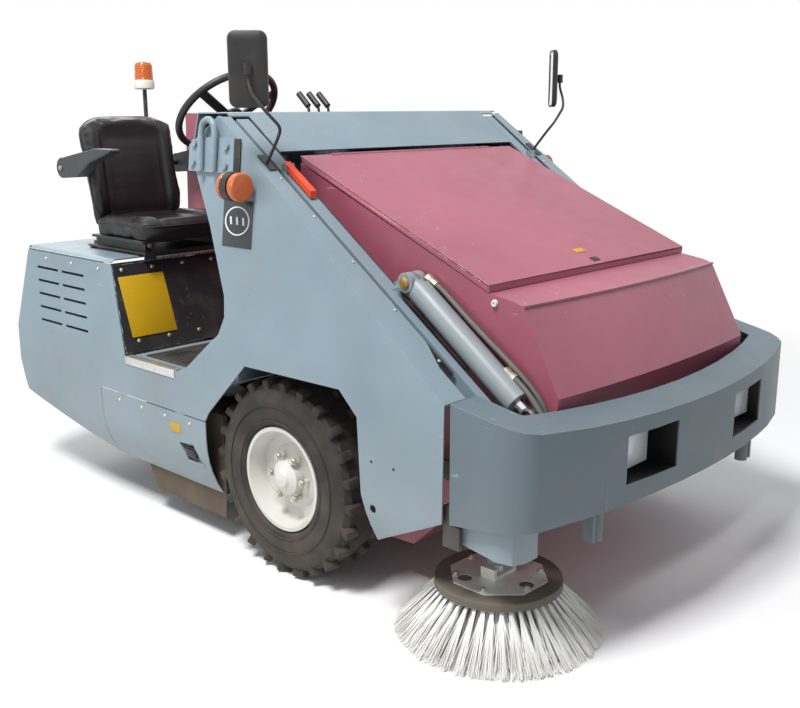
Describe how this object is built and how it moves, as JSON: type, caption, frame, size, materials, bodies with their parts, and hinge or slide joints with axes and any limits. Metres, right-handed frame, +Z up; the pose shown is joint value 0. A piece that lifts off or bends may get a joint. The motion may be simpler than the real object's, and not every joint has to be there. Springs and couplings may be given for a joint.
{
  "type": "ride-on floor sweeper",
  "caption": "Ride-on sweeper with a front hopper on lift arms, side broom, main broom, seated operator place and a steered rear wheel.",
  "frame": {"origin": "bottom centre of the bounding box, on the floor", "axes": "+Z up, the machine drives towards -Y, its right-hand side is -X"},
  "size_m": [1.7394, 2.781, 1.748],
  "materials": {
    "paint_grey": "satin",
    "paint_maroon": "satin",
    "paint_black": "satin",
    "cylinder_grey": "satin",
    "bright_rod": "polished",
    "zinc": "satin",
    "white_rim": "satin",
    "tyre": "matte",
    "rubber": "matte",
    "vinyl": "satin",
    "plastic_black": "matte",
    "amber": "gloss",
    "lamp_glass": "gloss",
    "plastic_white": "satin",
    "tank_plastic": "matte",
    "broom_disc": "matte",
    "bristle": "matte",
    "engine_iron": "matte"
  },
  "bodies": {
    "chassis": {"chassis_frame": "paint_grey", "side_panel_right": "paint_grey", "side_panel_left": "paint_grey", "cowl": "paint_grey", "floor_plate": "paint_grey", "hood_top": "paint_grey", "rear_panel": "paint_grey", "hood_front_panel": "paint_black", "engine_cabinet": "paint_maroon", "dust_skirts": "rubber", "turn_signal_bodies": "plastic_black", "turn_signal_lenses": "amber", "tie_down_rings": "paint_grey", "mirror_arms": "paint_black", "beacon_post": "plastic_white", "beacon_lens": "amber", "engine_block": "engine_iron", "radiator": "paint_black", "hydraulic_tank": "tank_plastic", "steering_column": "plastic_black"},
    "lift_frame": {"lift_arms": "paint_grey"},
    "hopper": {"hopper_shell": "paint_maroon", "bumper": "paint_grey", "headlight_housings": "plastic_black", "headlight_lenses": "lamp_glass"},
    "lid": {"hopper_lid": "paint_maroon"},
    "dump_cylinder": {"dump_barrels": "cylinder_grey", "hydraulic_hoses": "rubber"},
    "dump_rod": {"dump_rods": "bright_rod"},
    "lift_cylinder": {"lift_barrels": "cylinder_grey"},
    "lift_rod": {"lift_rods": "bright_rod"},
    "lock": {"lock_handle": "rubber"},
    "broom_arm": {"side_broom_arm": "paint_grey"},
    "side_broom": {"side_broom_disc": "broom_disc", "side_broom_plate": "zinc", "side_broom_bristles": "bristle"},
    "sweep_arms": {"main_broom_arms": "paint_black"},
    "sweep_broom": {"main_broom": "bristle"},
    "wheel_right": {"front_tyre_right": "tyre", "front_rim_right": "white_rim"},
    "wheel_left": {"front_tyre_left": "tyre", "front_rim_left": "white_rim"},
    "fork": {"rear_fork": "paint_black"},
    "wheel_rear": {"rear_wheel": "tyre"},
    "hand_wheel": {"steering_wheel": "plastic_black"},
    "deck": {"seat_deck": "paint_black"},
    "seat": {"seat_pan": "paint_black", "seat_cushion": "vinyl", "seat_back": "vinyl"},
    "rest_right": {"armrest_right": "vinyl"},
    "rest_left": {"armrest_left": "vinyl"},
    "lever_1": {"control_lever_1": "zinc"},
    "lever_2": {"control_lever_2": "zinc"},
    "lever_3": {"control_lever_3": "zinc"},
    "pedal_drive": {"drive_pedal": "rubber"},
    "pedal_brake": {"brake_pedal": "paint_black"},
    "door_right": {"side_door_right": "paint_grey"},
    "door_left": {"side_door_left": "paint_grey"},
    "glass_right": {"mirror_right": "plastic_black"},
    "glass_left": {"mirror_left": "plastic_black"}
  },
  "joints": [
    {"name": "hopper_lift", "type": "hinge", "parent": "chassis", "child": "lift_frame", "pos_m": [0, -0.0005, 1.428], "axis": [-1, 0, 0], "range_deg": [0, 50]},
    {"name": "hopper_tilt", "type": "hinge", "parent": "lift_frame", "child": "hopper", "pos_m": [0, -1.0605, 0.64], "axis": [1, 0, 0], "range_deg": [0, 40]},
    {"name": "lid_hinge", "type": "hinge", "parent": "hopper", "child": "lid", "pos_m": [0, -0.1785, 1.368], "axis": [-1, 0, 0], "range_deg": [0, 60]},
    {"name": "dump_swing", "type": "hinge", "parent": "lift_frame", "child": "dump_cylinder", "pos_m": [0, -0.7135, 1.021], "axis": [1, 0, 0], "range_deg": [0, 4.6], "deforming": ["hydraulic_hoses"]},
    {"name": "dump_stroke", "type": "slide", "parent": "dump_cylinder", "child": "dump_rod", "axis": [0, -0.8037, -0.595], "range_m": [0, 0.06]},
    {"name": "lift_swing", "type": "hinge", "parent": "chassis", "child": "lift_cylinder", "pos_m": [0, -0.1305, 0.79], "axis": [1, 0, 0], "range_deg": [0, 9.6]},
    {"name": "lift_stroke", "type": "slide", "parent": "lift_cylinder", "child": "lift_rod", "axis": [0, 0.0737, 0.9973], "range_m": [0, 0.12]},
    {"name": "lock_pivot", "type": "hinge", "parent": "lift_frame", "child": "lock", "pos_m": [-0.647, -0.2205, 1.34235], "axis": [-1, 0, 0], "range_deg": [0, 80]},
    {"name": "side_broom_lift", "type": "slide", "parent": "chassis", "child": "broom_arm", "axis": [0, 0, 1], "range_m": [0, 0.04]},
    {"name": "side_broom_spin", "type": "hinge", "parent": "broom_arm", "child": "side_broom", "pos_m": [-0.565, -1.0305, 0], "axis": [0, 0, 1], "continuous": true},
    {"name": "main_broom_lift", "type": "hinge", "parent": "chassis", "child": "sweep_arms", "pos_m": [0, 0.2995, 0.43], "axis": [1, 0, 0], "range_deg": [0, 12]},
    {"name": "main_broom_spin", "type": "hinge", "parent": "sweep_arms", "child": "sweep_broom", "pos_m": [0, 0.3595, 0.212], "axis": [1, 0, 0], "continuous": true},
    {"name": "front_wheel_right_spin", "type": "hinge", "parent": "chassis", "child": "wheel_right", "pos_m": [-0.696, -0.2905, 0.338], "axis": [1, 0, 0], "continuous": true},
    {"name": "front_wheel_left_spin", "type": "hinge", "parent": "chassis", "child": "wheel_left", "pos_m": [0.696, -0.2905, 0.338], "axis": [1, 0, 0], "continuous": true},
    {"name": "rear_steer", "type": "hinge", "parent": "chassis", "child": "fork", "pos_m": [0, 0.9995, 0], "axis": [0, 0, 1], "range_deg": [-60, 60]},
    {"name": "rear_wheel_spin", "type": "hinge", "parent": "fork", "child": "wheel_rear", "pos_m": [0, 0.9995, 0.225], "axis": [1, 0, 0], "continuous": true},
    {"name": "steering_turn", "type": "hinge", "parent": "chassis", "child": "hand_wheel", "pos_m": [-0.45, 0.3095, 1.478], "axis": [0, 0.682, 0.7314], "range_deg": [-360, 360]},
    {"name": "seat_deck_hinge", "type": "hinge", "parent": "chassis", "child": "deck", "pos_m": [0, 0.6335, 0.961], "axis": [1, 0, 0], "range_deg": [0, 25]},
    {"name": "seat_slide", "type": "slide", "parent": "deck", "child": "seat", "axis": [0, 1, 0], "range_m": [-0.075, 0.075]},
    {"name": "armrest_right_hinge", "type": "hinge", "parent": "seat", "child": "rest_right", "pos_m": [-0.7, 1.0365, 1.293], "axis": [-1, 0, 0], "range_deg": [0, 80]},
    {"name": "armrest_left_hinge", "type": "hinge", "parent": "seat", "child": "rest_left", "pos_m": [-0.18, 1.0365, 1.293], "axis": [-1, 0, 0], "range_deg": [0, 80]},
    {"name": "lever_1_pivot", "type": "hinge", "parent": "chassis", "child": "lever_1", "pos_m": [-0.264, 0.0895, 1.42], "axis": [1, 0, 0], "range_deg": [-12, 12], "stiffness_Nm_per_rad": 2},
    {"name": "lever_2_pivot", "type": "hinge", "parent": "chassis", "child": "lever_2", "pos_m": [-0.216, 0.0895, 1.42], "axis": [1, 0, 0], "range_deg": [-12, 12], "stiffness_Nm_per_rad": 2},
    {"name": "lever_3_pivot", "type": "hinge", "parent": "chassis", "child": "lever_3", "pos_m": [-0.168, 0.0895, 1.42], "axis": [1, 0, 0], "range_deg": [-12, 12], "stiffness_Nm_per_rad": 2},
    {"name": "drive_pedal_pivot", "type": "hinge", "parent": "chassis", "child": "pedal_drive", "pos_m": [-0.32, 0.1195, 0.68], "axis": [1, 0, 0], "range_deg": [-12, 12], "stiffness_Nm_per_rad": 5},
    {"name": "brake_pedal_pivot", "type": "hinge", "parent": "chassis", "child": "pedal_brake", "pos_m": [-0.525, -0.0365, 0.763], "axis": [-1, 0, 0], "range_deg": [0, 12], "stiffness_Nm_per_rad": 10, "springref_deg": -17.19},
    {"name": "side_door_right_hinge", "type": "hinge", "parent": "chassis", "child": "door_right", "pos_m": [-0.811, 0.4015, 0.467], "axis": [0, 1, 0], "range_deg": [0, 70]},
    {"name": "side_door_left_hinge", "type": "hinge", "parent": "chassis", "child": "door_left", "pos_m": [0.811, 0.4015, 0.467], "axis": [0, -1, 0], "range_deg": [0, 70]},
    {"name": "mirror_right_turn", "type": "hinge", "parent": "chassis", "child": "glass_right", "pos_m": [-0.812, -0.2385, 1.64], "axis": [0, 0, 1], "range_deg": [-20, 20]},
    {"name": "mirror_left_turn", "type": "hinge", "parent": "chassis", "child": "glass_left", "pos_m": [0.812, -0.2385, 1.64], "axis": [0, 0, 1], "range_deg": [-20, 20]}
  ],
  "couplings": [
    {"joint": "hopper_tilt", "follows": "hopper_lift", "ratio": 0.8},
    {"joint": "dump_swing", "follows": "hopper_lift", "ratio": 0.089296},
    {"joint": "dump_stroke", "follows": "hopper_lift", "m_per_rad": 0.067712},
    {"joint": "lift_swing", "follows": "hopper_lift", "ratio": 0.18345},
    {"joint": "lift_stroke", "follows": "hopper_lift", "m_per_rad": 0.1335},
    {"joint": "steering_turn", "follows": "rear_steer", "ratio": 6}
  ]
}
